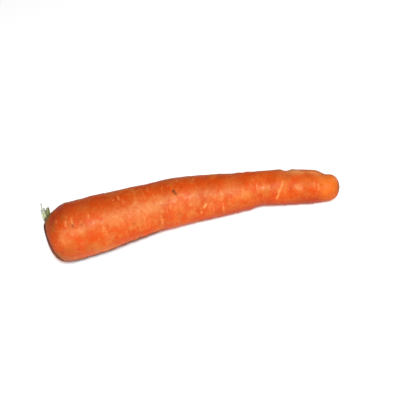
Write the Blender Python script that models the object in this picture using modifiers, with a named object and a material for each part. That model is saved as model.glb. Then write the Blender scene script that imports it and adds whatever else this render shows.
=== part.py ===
"""A topped carrot of the blunt Nantes kind, lying on its side.

Two solids: the taproot, and the tuft of cut leaf stalks that stands in the hollow of its crown.
Lengths are in metres. +X runs from the crown to the tip, +Y across and +Z up, and the origin is the
centre of the underside of the carrot's box.

The root is turned in its growing pose, with the crown up at z = 0 and the tip down at z = -ROOT_LENGTH.
Lumps and creases are then pressed into it, and it is bent along its spine and laid on the ground.
An angle round the root is 0 on top and 90 degrees on the far side, +Y, as it lies.
"""

import math
import random
from typing import NamedTuple

import bmesh
import bpy
from mathutils import Matrix, Vector

MM = 0.001

# The root as a turned body: (share of the length from the crown, radius) down its side
ROOT_LENGTH = 186 * MM
SIDE = (
    (0.00, 17.4 * MM),
    (0.10, 18.8 * MM),
    (0.19, 18.4 * MM),
    (0.34, 16.2 * MM),
    (0.47, 15.5 * MM),
    (0.62, 13.2 * MM),
    (0.73, 11.4 * MM),
    (0.80, 11.2 * MM),
    (0.88, 10.7 * MM),
    (0.92, 10.3 * MM),
    (0.96, 8.7 * MM),
    (1.00, 7.8 * MM),
)
SHOULDER_LENGTH = 16 * MM  # the rounded stretch at the crown
SHOULDER_FULLNESS = 2.35  # 2 is an ellipse, more is squarer
SHOULDER_LEAN = 0.6  # how much squarer the shoulder is across from the hollow, and softer beside it
NOSE_LENGTH = 8 * MM  # the rounded stretch at the tip
NOSE_FULLNESS = 2.5
CAP_RINGS = 9
SEGMENTS = 40
RING_GAP = 3.2 * MM  # the widest spacing of the rings between the creases

# How it lies: (share of the length, sideways place of the spine), and the height of a straight spine
SWAY = (
    (0.00, -2.0 * MM),
    (0.18, 3.2 * MM),
    (0.34, 9.8 * MM),
    (0.50, 13.4 * MM),
    (0.64, 12.4 * MM),
    (0.76, 12.3 * MM),
    (0.88, 7.9 * MM),
    (1.00, 1.9 * MM),
)
SPINE_HEIGHT_AT_CROWN = 20.1 * MM
SPINE_DROP = 10.9 * MM  # how much lower the spine is at the tip

# Lumps: (share of the radius, waves round, waves along, phase)
LUMPS = (
    (0.014, 2, 0.7, 0.6),
    (0.010, 3, 1.6, 2.1),
    (0.007, 1, 4.3, 0.4),
    (0.006, 2, 7.7, 1.9),
    (0.005, 4, 3.1, 4.0),
)

# The crown's hollow, off the axis on the far upper side of the shoulder, and the pole's smaller shift
CROWN_ANGLE = math.radians(50)
CROWN_STATION = 2.4 * MM
POLE_SHIFT = 4.6 * MM
HOLLOW_RADIUS = 5.4 * MM
HOLLOW_DEPTH = 2.2 * MM

# The tuft: a flat heart in the hollow, and stalks cut short in two whorls, all wilted to one side
HEART_RADIUS = 3.0 * MM
HEART_HALF_HEIGHT = 1.3 * MM
STALK_SINK = 0.35 * MM  # how far the heart's middle is below the rim of the hollow
STALK_RADIUS = 0.85 * MM
STALK_SIDES = 8
STALK_STEPS = 7
STALK_TAPER = (1.15, 0.65)  # share of the radius at its root and at its cut end
STALK_SPREAD = 0.16  # how far a stalk splays outwards, as a share of its length
STALK_LEAN = 0.42  # how far it leans over to one side
STALK_WILT = 0.3  # how much further it bends that way
STALK_DROOP = 0.1  # how much height the bend costs it
CUT_SLOPE = 0.2  # how much longer the stalks on the other side are
STALK_SEED = 11
WHORLS = (  # (stalks, distance from the heart's middle, shortest, longest, thickness share)
    (7, 2.05 * MM, 4.0 * MM, 5.6 * MM, 1.0),
    (5, 1.0 * MM, 4.8 * MM, 6.0 * MM, 0.9),
)
STRAND_DISTANCE = 2.2 * MM
STRANDS = (  # dry strands: (angle in degrees from the side that they lean to, length, thickness share)
    (125, 10.8 * MM, 0.5),
    (196, 7.0 * MM, 0.5),
    (25, 5.0 * MM, 0.5),
)


class Crease(NamedTuple):
    """A cross mark pressed into the root, as left by the side roots: a place, its reach, and a depth."""

    station: float
    angle: float
    half_width: float
    half_span: float
    depth: float


# The large creases: (share of the length, angle, half width, half span, depth)
WAISTS = (
    (0.952, 42, 5.0 * MM, 120, 0.9 * MM),
    (0.827, 48, 3.8 * MM, 85, 0.9 * MM),
    (0.735, -130, 8.0 * MM, 80, 0.6 * MM),
    (0.560, 20, 4.0 * MM, 70, 0.35 * MM),
    (0.930, 230, 2.6 * MM, 70, 0.35 * MM),
)
FINE_CREASES = 17
FINE_CREASE_REACH = (0.09, 0.93)  # shares of the length between which they lie
CREASE_SEED = 5
CREASE_HALF_WIDTH = 0.8 * MM
CREASE_DEPTHS = (0.22 * MM, 0.42 * MM)
CREASE_SPANS = (math.radians(28), math.radians(75))


def smooth_at(points, share):
    """Value at share of the smooth curve through (share, value) points, which are in order."""
    last = len(points) - 1
    i = min(max(sum(share >= p[0] for p in points) - 1, 0), last - 1)

    def slope(k):
        before, after = points[max(k - 1, 0)], points[min(k + 1, last)]
        return (after[1] - before[1]) / (after[0] - before[0])

    (x0, y0), (x1, y1) = points[i], points[i + 1]
    width = x1 - x0
    t = (share - x0) / width
    return (
        y0 * (1 + 2 * t) * (1 - t) ** 2
        + slope(i) * width * t * (1 - t) ** 2
        + y1 * t * t * (3 - 2 * t)
        + slope(i + 1) * width * t * t * (t - 1)
    )


def creases():
    """The large creases and the fine ones, whose places are drawn at even steps with a seeded scatter."""
    found = [
        Crease(share * ROOT_LENGTH, math.radians(angle), half_width, math.radians(half_span), depth)
        for share, angle, half_width, half_span, depth in WAISTS
    ]
    draw = random.Random(CREASE_SEED)
    first, last = FINE_CREASE_REACH
    for i in range(FINE_CREASES):
        share = first + (last - first) * (i + draw.uniform(0.1, 0.9)) / FINE_CREASES
        angle = draw.uniform(-math.pi, math.pi)
        half_span = draw.uniform(*CREASE_SPANS)
        depth = draw.uniform(*CREASE_DEPTHS)
        found.append(Crease(share * ROOT_LENGTH, angle, CREASE_HALF_WIDTH, half_span, depth))
    return found


CREASES = creases()


def crease_depth(station, angle):
    """How far the creases press the surface in, at a station along the root and an angle round it."""
    depth = 0.0
    for crease in CREASES:
        across = (station - crease.station) / crease.half_width
        turn = math.remainder(angle - crease.angle, math.tau)
        around = turn / crease.half_span
        if abs(across) < 1 and abs(around) < 1:
            depth += crease.depth * (1 - across**2) ** 2 * math.cos(around * math.pi / 2)
    return depth


def lump_share(station, angle):
    """How far the surface stands out for its lumps, as a share of the radius."""
    along = math.tau * station / ROOT_LENGTH
    return sum(size * math.cos(n * angle + waves * along + phase) for size, n, waves, phase in LUMPS)


def side_stations():
    """Stations of the rings between the two caps: three on each fine crease, and more to fill the gaps."""
    start, end = SHOULDER_LENGTH, ROOT_LENGTH - NOSE_LENGTH
    edge = CREASE_HALF_WIDTH
    fixed = [start, end]
    for crease in CREASES:
        if crease.half_width == edge and start + 2 * edge < crease.station < end - 2 * edge:
            fixed += [crease.station - edge, crease.station, crease.station + edge]
    fixed.sort()
    fixed = [s for i, s in enumerate(fixed) if i == 0 or s - fixed[i - 1] > edge / 4]
    stations = []
    for low, high in zip(fixed, fixed[1:]):
        steps = math.ceil((high - low) / RING_GAP)
        stations += [low + (high - low) * k / steps for k in range(steps)]
    return stations + [end]


def shoulder_radius(station):
    """Radius of the turned root at a station on its shoulder."""
    share = 1 - station / SHOULDER_LENGTH
    return smooth_at(SIDE, station / ROOT_LENGTH) * (1 - share**SHOULDER_FULLNESS) ** (1 / SHOULDER_FULLNESS)


def root_profile():
    """(radius, station) of each ring, from the crown's pole down the side to the tip's pole."""
    quarter = [math.pi / 2 * i / CAP_RINGS for i in range(CAP_RINGS)]
    points = []
    for turn in quarter:
        station = SHOULDER_LENGTH * (1 - math.cos(turn) ** (2 / SHOULDER_FULLNESS))
        full = smooth_at(SIDE, station / ROOT_LENGTH)
        points.append((full * math.sin(turn) ** (2 / SHOULDER_FULLNESS), station))
    for station in side_stations():
        points.append((smooth_at(SIDE, station / ROOT_LENGTH), station))
    for turn in reversed(quarter):
        station = ROOT_LENGTH - NOSE_LENGTH * (1 - math.cos(turn) ** (2 / NOSE_FULLNESS))
        full = smooth_at(SIDE, station / ROOT_LENGTH)
        points.append((full * math.sin(turn) ** (2 / NOSE_FULLNESS), station))
    return points


def grown(point):
    """Where a point of the turned root goes once it has lumps, creases and a crown shifted off the axis."""
    station = -point.z
    radius, angle = math.hypot(point.x, point.y), math.atan2(point.y, point.x)
    full = smooth_at(SIDE, station / ROOT_LENGTH)
    outward = min(radius / full, 1.0)
    radius += outward * (full * lump_share(station, angle) - crease_depth(station, angle))
    at_crown = max(0.0, 1 - station / SHOULDER_LENGTH)
    shift = POLE_SHIFT * (1 - outward) * at_crown
    station *= 1 + SHOULDER_LEAN * math.cos(angle - CROWN_ANGLE) * at_crown
    return Vector(
        (
            radius * math.cos(angle) + shift * math.cos(CROWN_ANGLE),
            radius * math.sin(angle) + shift * math.sin(CROWN_ANGLE),
            -station,
        )
    )


def spine_frame(station):
    """A matrix from the growing pose to the lying one, for the slice of the root at a station."""

    def place(share):
        return Vector(
            (
                share * ROOT_LENGTH,
                smooth_at(SWAY, share),
                SPINE_HEIGHT_AT_CROWN - SPINE_DROP * share,
            )
        )

    share = station / ROOT_LENGTH
    step = 0.004
    low, high = max(share - step, 0.0), min(share + step, 1.0)
    along = (place(high) - place(low)).normalized()
    across = Vector((0, 0, 1)).cross(along).normalized()
    up = along.cross(across)
    turn = Matrix((up, across, -along)).transposed().to_4x4()
    return Matrix.Translation(place(share)) @ turn


def laid_down(point):
    """A point of the growing pose, bent along the spine and laid on the ground."""
    return spine_frame(-point.z) @ Vector((point.x, point.y, 0))


def shoulder_point(station, angle):
    """The point of the lying root at a station of its shoulder and an angle round it."""
    radius = shoulder_radius(station)
    turned = Vector((radius * math.cos(angle), radius * math.sin(angle), -station))
    return laid_down(grown(turned))


def crown_frame():
    """A matrix with its origin in the crown's hollow, z out of it, and x to the side that the stalks lean to."""
    step = 0.1 * MM
    centre = shoulder_point(CROWN_STATION, CROWN_ANGLE)
    down = shoulder_point(CROWN_STATION + step, CROWN_ANGLE) - centre
    around = shoulder_point(CROWN_STATION, CROWN_ANGLE + step / HOLLOW_RADIUS) - centre
    out = down.cross(around).normalized()
    lean = (down - out * down.dot(out)).normalized()
    turn = Matrix((lean, out.cross(lean), out)).transposed().to_4x4()
    return Matrix.Translation(centre) @ turn


def hollowed(point, frame):
    """A point of the lying root, sunk for the crown's hollow where it is within it."""
    local = frame.inverted() @ point
    reach = local.length / HOLLOW_RADIUS
    if reach < 1:
        local.z -= HOLLOW_DEPTH * (1 - reach**2) ** 1.5
    return frame @ local


def new_object(name, mesh, collection, material=None):
    """A new object in a collection, with its material."""
    item = bpy.data.objects.new(name, mesh)
    if material:
        item.data.materials.append(material)
    collection.objects.link(item)
    return item


def applied(item, name, collection, material):
    """The object's evaluated mesh as a new object in the same place, and the old object removed."""
    bpy.context.view_layer.update()
    graph = bpy.context.evaluated_depsgraph_get()
    mesh = bpy.data.meshes.new_from_object(item.evaluated_get(graph))
    place = item.matrix_world.copy()
    bpy.data.objects.remove(item)
    mesh.materials.clear()
    made = new_object(name, mesh, collection, material)
    made.matrix_world = place
    return made


def plain_material(name, colour, roughness):
    """A Principled material of one colour."""
    material = bpy.data.materials.new(name)
    material.use_nodes = True
    shader = material.node_tree.nodes["Principled BSDF"]
    shader.inputs["Base Color"].default_value = (*colour, 1)
    shader.inputs["Roughness"].default_value = roughness
    shader.inputs["Metallic"].default_value = 0
    return material


def make_taproot(collection, material):
    """The root: a Screw-turned profile, then grown, bent, hollowed at the crown and flat where it rests."""
    outline = bmesh.new()
    points = [outline.verts.new((radius, 0, -station)) for radius, station in root_profile()]
    for a, b in zip(points, points[1:]):
        outline.edges.new((a, b))
    mesh = bpy.data.meshes.new("root_outline")
    outline.to_mesh(mesh)
    outline.free()
    turned = new_object("root_outline", mesh, collection)
    screw = turned.modifiers.new("turn", "SCREW")
    screw.axis = "Z"
    screw.steps = screw.render_steps = SEGMENTS
    screw.use_merge_vertices = True
    screw.merge_threshold = 0.00001
    root = applied(turned, "taproot", collection, material)
    frame = crown_frame()
    for vertex in root.data.vertices:
        place = hollowed(laid_down(grown(vertex.co)), frame)
        place.z = max(place.z, 0.0)  # the flat spots that it rests on
        vertex.co = place
    root.data.shade_smooth()
    return root


def stalk_path(angle, distance, length):
    """Points along a stalk: it starts inside the heart, leans out and then wilts over towards +x."""
    out = Vector((math.cos(angle), math.sin(angle), 0))
    points = []
    for i in range(STALK_STEPS):
        t = i / (STALK_STEPS - 1)
        rise = Vector((0, 0, length * (t - STALK_DROOP * t**2)))
        spread = out * STALK_SPREAD * length * t
        wilt = Vector((length * (STALK_LEAN * t + STALK_WILT * t**2), 0, 0))
        points.append(out * distance + rise + spread + wilt)
    return points


def make_stalk(name, path, radius, collection):
    """One cut leaf stalk: a bevelled curve that tapers, made a closed mesh for the union."""
    curve = bpy.data.curves.new(name, "CURVE")
    curve.dimensions = "3D"
    curve.bevel_depth = radius
    curve.bevel_resolution = STALK_SIDES // 4
    curve.use_fill_caps = True
    spline = curve.splines.new("POLY")
    spline.points.add(len(path) - 1)
    at_root, at_end = STALK_TAPER
    for i, place in enumerate(path):
        spline.points[i].co = (*place, 1)
        spline.points[i].radius = at_root + (at_end - at_root) * i / (len(path) - 1)
    stalk = applied(new_object(name, curve, collection), name, collection, None)
    body = bmesh.new()
    body.from_mesh(stalk.data)
    bmesh.ops.remove_doubles(body, verts=body.verts, dist=0.00001)
    body.to_mesh(stalk.data)
    body.free()
    return stalk


def make_leaf_stubs(collection, material):
    """The tuft: a flat heart, with the stalks of both whorls and the dry strands joined to it by one union."""
    stalks = bpy.data.collections.new("stalks")
    collection.children.link(stalks)
    draw = random.Random(STALK_SEED)
    for whorl, (count, distance, shortest, longest, thickness) in enumerate(WHORLS):
        for i in range(count):
            angle = math.tau * (i + 0.5 * whorl + draw.uniform(-0.2, 0.2)) / count
            length = draw.uniform(shortest, longest) * (1 - CUT_SLOPE * math.cos(angle))
            path = stalk_path(angle, distance, length)
            radius = STALK_RADIUS * thickness * draw.uniform(0.85, 1.1)
            make_stalk(f"stalk_{whorl}_{i}", path, radius, stalks)
    for i, (degrees, length, thickness) in enumerate(STRANDS):
        path = stalk_path(math.radians(degrees), STRAND_DISTANCE, length)
        make_stalk(f"strand_{i}", path, STALK_RADIUS * thickness, stalks)

    body = bmesh.new()
    bmesh.ops.create_uvsphere(body, u_segments=20, v_segments=10, radius=1)
    bmesh.ops.scale(body, vec=(HEART_RADIUS, HEART_RADIUS, HEART_HALF_HEIGHT), verts=body.verts)
    mesh = bpy.data.meshes.new("heart")
    body.to_mesh(mesh)
    body.free()
    heart = new_object("heart", mesh, collection)
    union = heart.modifiers.new("stalks", "BOOLEAN")
    union.operation = "UNION"
    union.operand_type = "COLLECTION"
    union.collection = stalks
    union.solver = "EXACT"
    stubs = applied(heart, "leaf_stubs", collection, material)
    for stalk in list(stalks.objects):
        bpy.data.objects.remove(stalk)
    bpy.data.collections.remove(stalks)
    stubs.matrix_world = crown_frame() @ Matrix.Translation((0, 0, -STALK_SINK))
    return stubs


def centre_on_origin(pieces):
    """Hangs the pieces on an empty that brings the underside's centre of their box to the origin."""
    bpy.context.view_layer.update()
    corners = [piece.matrix_world @ vertex.co for piece in pieces for vertex in piece.data.vertices]
    low = Vector(map(min, zip(*corners)))
    high = Vector(map(max, zip(*corners)))
    carrot = bpy.data.objects.new("carrot", None)
    bpy.context.scene.collection.objects.link(carrot)
    carrot.location = (-(low.x + high.x) / 2, -(low.y + high.y) / 2, -low.z)
    for piece in pieces:
        piece.parent = carrot


def main():
    """Clears the scene and builds the carrot."""
    for item in list(bpy.data.objects):
        bpy.data.objects.remove(item)
    collection = bpy.data.collections.new("carrot")
    bpy.context.scene.collection.children.link(collection)
    skin = plain_material("carrot_skin", (0.80, 0.17, 0.03), 0.42)
    green = plain_material("leaf_stalk", (0.36, 0.38, 0.13), 0.6)
    root = make_taproot(collection, skin)
    stubs = make_leaf_stubs(collection, green)
    centre_on_origin([root, stubs])


main()
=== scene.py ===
"""A topped carrot of the blunt Nantes kind, lying on its side on a pale floor.

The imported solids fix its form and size. Two finer pieces of the same form stand for them: the root, with its
fine creases, pits and scars, and the tuft of cut leaf stalks. Rootlets are added. Lengths are in metres:
+X runs from the crown to the tip, +Y across and +Z up.
"""

import logging
import math
import random
from collections.abc import Iterator, Mapping
from dataclasses import dataclass, replace
from enum import Enum

import bmesh
import bpy
import numpy as np
from mathutils import Matrix, Vector


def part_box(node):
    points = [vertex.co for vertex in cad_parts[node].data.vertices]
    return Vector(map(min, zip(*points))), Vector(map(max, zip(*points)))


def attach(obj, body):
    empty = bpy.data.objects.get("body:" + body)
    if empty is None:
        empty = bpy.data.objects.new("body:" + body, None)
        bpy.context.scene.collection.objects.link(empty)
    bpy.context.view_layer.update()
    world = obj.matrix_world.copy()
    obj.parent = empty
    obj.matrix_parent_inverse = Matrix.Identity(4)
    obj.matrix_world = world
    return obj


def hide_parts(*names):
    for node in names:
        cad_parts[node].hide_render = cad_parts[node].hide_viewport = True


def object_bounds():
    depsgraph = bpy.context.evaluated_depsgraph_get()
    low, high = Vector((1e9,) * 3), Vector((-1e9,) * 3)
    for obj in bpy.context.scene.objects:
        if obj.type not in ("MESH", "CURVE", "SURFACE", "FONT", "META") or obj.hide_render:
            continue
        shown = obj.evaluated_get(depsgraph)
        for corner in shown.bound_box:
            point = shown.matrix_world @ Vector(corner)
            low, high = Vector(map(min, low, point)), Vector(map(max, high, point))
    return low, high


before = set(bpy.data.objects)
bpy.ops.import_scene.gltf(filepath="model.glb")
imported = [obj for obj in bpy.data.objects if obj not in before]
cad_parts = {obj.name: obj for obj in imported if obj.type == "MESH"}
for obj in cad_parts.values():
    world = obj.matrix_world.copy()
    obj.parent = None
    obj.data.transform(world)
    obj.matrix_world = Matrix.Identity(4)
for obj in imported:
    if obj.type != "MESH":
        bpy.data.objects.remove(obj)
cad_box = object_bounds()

MM = 0.001
log = logging.getLogger("carrot")

Range = tuple[float, float]
Triple = tuple[float, float, float]
Colour = Triple
Steps = tuple[tuple[float, float], ...]
Array = np.ndarray


# --- Shader nodes ---------------------------------------------------------------------------------


class Signal:
    """A number that varies over a surface. Arithmetic on it adds Math nodes."""

    def __init__(self, bench: "Bench", socket: bpy.types.NodeSocket) -> None:
        """Wraps an output socket of a node on the bench."""
        self.bench = bench
        self.socket = socket

    def maths(self, operation: str, *values: "Signal | float") -> "Signal":
        """The result of a Math node.

        Args:
            operation: the node's operation.
            values: its inputs, in order.

        Returns:
            Its output.
        """
        return self.bench.node("ShaderNodeMath", {"operation": operation}, dict(enumerate(values)))

    def __add__(self, other: "Signal | float") -> "Signal":
        """Returns the sum."""
        return self.maths("ADD", self, other)

    def __radd__(self, other: float) -> "Signal":
        """Returns the sum."""
        return self.maths("ADD", other, self)

    def __sub__(self, other: "Signal | float") -> "Signal":
        """Returns the difference."""
        return self.maths("SUBTRACT", self, other)

    def __rsub__(self, other: float) -> "Signal":
        """Returns the difference."""
        return self.maths("SUBTRACT", other, self)

    def __mul__(self, other: "Signal | float") -> "Signal":
        """Returns the product."""
        return self.maths("MULTIPLY", self, other)

    def __rmul__(self, other: float) -> "Signal":
        """Returns the product."""
        return self.maths("MULTIPLY", other, self)

    def step(self, low: float, high: float) -> "Signal":
        """A smooth step over the signal.

        Args:
            low: where it starts to rise from 0, or to fall to it if it is the larger.
            high: where it reaches 1.

        Returns:
            The step, between 0 and 1.
        """
        ends = {"Value": self, "From Min": low, "From Max": high}
        return self.bench.node("ShaderNodeMapRange", {"interpolation_type": "SMOOTHSTEP"}, ends, "Result")


class Bench:
    """A new Principled material, and the bench on which its nodes are put together."""

    def __init__(self, name: str, plain: Mapping[str, object]) -> None:
        """Makes the material.

        Args:
            name: the material's name.
            plain: the shader's values that are the same all over, by socket.
        """
        self.material = bpy.data.materials.new(name)
        self.material.use_nodes = True
        self.tree = self.material.node_tree
        self.shader = self.tree.nodes["Principled BSDF"]
        for socket, value in plain.items():
            self.shader.inputs[socket].default_value = value

    def node(
        self,
        kind: str,
        settings: Mapping[str, object],
        inputs: Mapping[int | str, object],
        output: int | str = 0,
    ) -> Signal:
        """Adds a node.

        Args:
            kind: the node's type.
            settings: its properties.
            inputs: values or signals by socket, a colour as three numbers.
            output: the output that is wanted.

        Returns:
            That output.
        """
        made = self.tree.nodes.new(kind)
        for name, value in settings.items():
            setattr(made, name, value)
        for key, value in inputs.items():
            socket = made.inputs[key]
            if isinstance(value, Signal):
                self.tree.links.new(value.socket, socket)
            elif isinstance(value, tuple) and socket.type == "RGBA":
                socket.default_value = (*value, 1)
            else:
                socket.default_value = value
        return Signal(self, made.outputs[output])

    def attribute(self, name: str, output: str = "Fac") -> Signal:
        """Returns an attribute of the piece."""
        return self.node("ShaderNodeAttribute", {"attribute_name": name}, {}, output)

    def scaled(self, vector: Signal, scale: Triple) -> Signal:
        """Returns a vector with each part scaled by its own number."""
        return self.node("ShaderNodeVectorMath", {"operation": "MULTIPLY"}, {0: vector, 1: scale})

    def noise(self, vector: Signal, scale: float, detail: float = 2.0, roughness: float = 0.5) -> Signal:
        """A cloudy pattern around 0.5.

        Args:
            vector: the place on the surface.
            scale: how many clouds there are to a metre.
            detail: how many finer layers it has.
            roughness: how strong the finer layers are.

        Returns:
            The pattern.
        """
        shape = {"Vector": vector, "Scale": scale, "Detail": detail, "Roughness": roughness}
        return self.node("ShaderNodeTexNoise", {}, shape, "Fac")

    def blend(self, mask: Signal | float, under: Signal | Colour, over: Signal | Colour) -> Signal:
        """One colour laid over another.

        Args:
            mask: how much of the upper one shows.
            under: the lower colour.
            over: the upper colour.

        Returns:
            The mixed colour.
        """
        return self.node("ShaderNodeMix", {"data_type": "RGBA"}, {0: mask, 6: under, 7: over}, 2)

    def finish(
        self, colour: Signal, roughness: Signal, height: Signal, depth: float, coat: Signal | None = None
    ) -> bpy.types.Material:
        """Links what varies to the shader.

        Args:
            colour: the base colour.
            roughness: the roughness.
            height: the relief, as a share of its depth.
            depth: the relief's full depth.
            coat: how moist it is, where that varies.

        Returns:
            The finished material.
        """
        bump = self.node("ShaderNodeBump", {}, {"Strength": 1.0, "Distance": depth, "Height": height})
        varied = {"Base Color": colour, "Roughness": roughness, "Normal": bump}
        if coat:
            varied["Coat Weight"] = coat
        for name, signal in varied.items():
            self.tree.links.new(signal.socket, self.shader.inputs[name])
        return self.material


# --- Finishes -------------------------------------------------------------------------------------


@dataclass(frozen=True)
class CarrotSkin:
    """Moist orange skin: clouded, netted and finely lined across, with the marks that the root carries,
    painted shade and painted sheen.
    """

    orange: Colour = (0.57, 0.055, 0.0006)
    net: Colour = (0.60, 0.152, 0.022)
    line: Colour = (0.70, 0.24, 0.060)
    # pale colour of the scars, also used as painted highlight on the ridge near the tip
    scar: Colour = (0.88, 0.39, 0.12)
    # the pale colour of the painted sheen, a painted highlight
    painted_sheen: Colour = (0.64, 0.230, 0.078)
    # deep red of the reddish patches, also used as painted shade in the creases and along the top and the
    # lower edge
    red: Colour = (0.30, 0.018, 0.003)
    # olive tinge, also used as painted shade on the crown's lower side
    olive: Colour = (0.24, 0.090, 0.010)
    brown: Colour = (0.075, 0.022, 0.008)
    yellow: Colour = (0.66, 0.135, 0.009)
    collar: Colour = (0.10, 0.065, 0.018)
    # the dark colour of the painted shade along the lower edge and round the crown end
    painted_shade: Colour = (0.048, 0.015, 0.004)
    scatter: float = 0.22
    scatter_reach: Triple = (1.0, 0.35, 0.12)  # of red, green and blue light, in scatter depths
    scatter_depth: float = 1.6 * MM
    gloss: float = 0.11
    moisture: float = 0.22
    moist_roughness: float = 0.33
    relief: float = 0.20 * MM

    def material(self) -> bpy.types.Material:
        """Returns the finished skin."""
        bench = Bench(
            "carrot_skin",
            {
                "Subsurface Weight": self.scatter,
                "Subsurface Radius": self.scatter_reach,
                "Subsurface Scale": self.scatter_depth,
                "IOR": 1.42,
                "Specular IOR Level": self.gloss,
                "Coat Roughness": self.moist_roughness,
            },
        )
        place = bench.attribute("growing", "Vector")
        across = bench.scaled(place, (0.25, 0.25, 1.0))
        tone = bench.noise(place, 125, 5.0, 0.69).step(0.38, 0.69)
        clouds = bench.noise(place, 60, 3.0).step(0.40, 0.66)
        flecks = bench.noise(place, 420, 3.0, 0.7).step(0.46, 0.66)
        blotches = bench.noise(place, 300, 5.0, 0.75).step(0.36, 0.54)
        mottle = bench.noise(place, 700, 2.0, 0.6)
        grain = bench.noise(place, 1300, 2.0, 0.6)
        fibres = bench.noise(across, 800, 2.0, 0.6)
        lines = bench.noise(across, 400, 3.0, 0.55).step(0.56, 0.72) * flecks
        cells = bench.node(
            "ShaderNodeTexVoronoi",
            {"feature": "DISTANCE_TO_EDGE"},
            {"Vector": bench.scaled(place, (1.0, 1.0, 1.6)), "Scale": 480.0, "Randomness": 1.0},
            "Distance",
        ).step(0.17, 0.0)
        broken = (mottle + 0.5 * fibres).step(0.50, 0.86)
        scar, painted_shade = bench.attribute("scar"), bench.attribute("painted_shade")

        # The calm cover holds back the paler tone: painted shade along the top, and an even patch on the
        # crown's lower side
        colour = bench.blend(tone * (1.0 - 0.5 * bench.attribute("calm")), self.orange, self.net)
        colour = bench.blend(bench.attribute("yellow"), colour, self.yellow)
        colour = bench.blend(clouds * 0.27 + mottle.step(0.46, 0.24) * 0.18, colour, self.red)
        # Reddish patches, and painted shade along the top and the lower edge
        colour = bench.blend(bench.attribute("red"), colour, self.red)
        colour = bench.blend(grain.step(0.52, 0.30) * 0.24, colour, self.olive)
        # Olive tinges, and painted shade on the crown's lower side
        colour = bench.blend(bench.attribute("olive"), colour, self.olive)
        # Painted sheen: pale patches of painted highlight along the lit band, broken up by the tone and the
        # flecks
        pale = bench.attribute("painted_sheen") * (0.26 + 0.50 * tone + 0.30 * flecks)
        colour = bench.blend(pale, colour, self.painted_sheen)
        colour = bench.blend(cells * 0.10 + lines * 0.36 + fibres.step(0.62, 0.80) * 0.13, colour, self.line)
        # Painted shade: the creases and cracks darkened towards red
        colour = bench.blend(bench.attribute("crease") * 0.30 * tone, colour, self.red)
        # Pale scars, and painted highlight on the ridge on top near the tip
        colour = bench.blend(scar * broken, colour, self.scar)
        colour = bench.blend(bench.attribute("speck"), colour, self.brown)
        # Painted shade: dark lines along the lower edge and a dark rim round the crown end, broken by blotches
        colour = bench.blend(painted_shade * (0.55 + 0.55 * blotches), colour, self.painted_shade)
        colour = bench.blend(bench.attribute("collar"), colour, self.collar)

        roughness = 0.36 + 0.18 * mottle + 0.12 * tone + 0.15 * scar + 0.4 * painted_shade
        height = 0.6 * mottle + 0.25 * grain + 0.25 * cells + 0.3 * lines + 0.3 * fibres + 0.8 * tone
        moist = self.moisture * flecks * mottle.step(0.35, 0.65)
        return bench.finish(colour, roughness, height, self.relief, moist)


@dataclass(frozen=True)
class LeafStalk:
    """Cut leaf stalks: green where fresh, pale and papery where dry, brown where they join the root."""

    green: Colour = (0.21, 0.22, 0.040)
    olive: Colour = (0.105, 0.095, 0.014)
    pale: Colour = (0.46, 0.50, 0.33)
    dry: Colour = (0.40, 0.43, 0.40)
    brown: Colour = (0.060, 0.036, 0.012)
    relief: float = 0.12 * MM

    def material(self) -> bpy.types.Material:
        """Returns the finished stalk."""
        bench = Bench("leaf_stalk", {"Subsurface Weight": 0.15, "Subsurface Scale": 0.8 * MM, "IOR": 1.38})
        grain = bench.attribute("grain", "Vector")
        streaks = bench.noise(bench.scaled(grain, (1.0, 1.0, 0.08)), 2600, 3.0, 0.6)
        blotches = bench.noise(grain, 700, 3.0, 0.6)
        along, dryness = bench.attribute("along"), bench.attribute("dryness")
        colour = bench.blend(streaks.step(0.35, 0.68), self.green, self.olive)
        colour = bench.blend(dryness * blotches.step(0.10, 0.55), colour, self.pale)
        colour = bench.blend(along.step(0.55, 0.95) * dryness, colour, self.dry)
        colour = bench.blend(along.step(0.94, 1.0) * 0.5, colour, self.olive)
        colour = bench.blend(along.step(0.34, 0.04) * 0.85, colour, self.brown)
        return bench.finish(colour, 0.50 + 0.3 * streaks, streaks + 0.4 * blotches, self.relief)


@dataclass(frozen=True)
class RootletSkin:
    """Thin dried rootlets, tan and streaked."""

    tan: Colour = (0.52, 0.26, 0.10)
    brown: Colour = (0.20, 0.085, 0.030)
    relief: float = 0.05 * MM

    def material(self) -> bpy.types.Material:
        """Returns the finished rootlet."""
        bench = Bench("rootlet", {"IOR": 1.4})
        grain = bench.attribute("grain", "Vector")
        streaks = bench.noise(bench.scaled(grain, (1.0, 1.0, 0.2)), 3000, 2.0)
        colour = bench.blend(streaks.step(0.4, 0.65), self.tan, self.brown)
        return bench.finish(colour, 0.6 + 0.2 * streaks, streaks, self.relief)


@dataclass(frozen=True)
class FloorPaint:
    """Plain pale studio floor, matt and lit a little from below."""

    colour: Colour = (0.90, 0.90, 0.90)
    glow: float = 0.16

    def material(self) -> bpy.types.Material:
        """Returns the finished floor."""
        plain = {
            "Base Color": (*self.colour, 1),
            "Roughness": 0.9,
            "Specular IOR Level": 0.1,
            "Emission Color": (1, 1, 1, 1),
            "Emission Strength": self.glow,
        }
        return Bench("studio_floor", plain).material


# --- Meshes ---------------------------------------------------------------------------------------


def mesh_of(form: bmesh.types.BMesh, name: str) -> bpy.types.Mesh:
    """Makes a mesh of a form, and frees the form.

    Args:
        form: the form.
        name: the mesh's name.

    Returns:
        The mesh.
    """
    mesh = bpy.data.meshes.new(name)
    form.to_mesh(mesh)
    form.free()
    return mesh


def shown(name: str, mesh: bpy.types.Mesh, material: bpy.types.Material) -> bpy.types.Object:
    """A piece in the scene, smooth shaded.

    Args:
        name: the piece's name.
        mesh: its mesh, in place.
        material: its finish.

    Returns:
        The piece.
    """
    mesh.materials.append(material)
    mesh.shade_smooth()
    piece = bpy.data.objects.new(name, mesh)
    bpy.context.scene.collection.objects.link(piece)
    return piece


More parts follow.
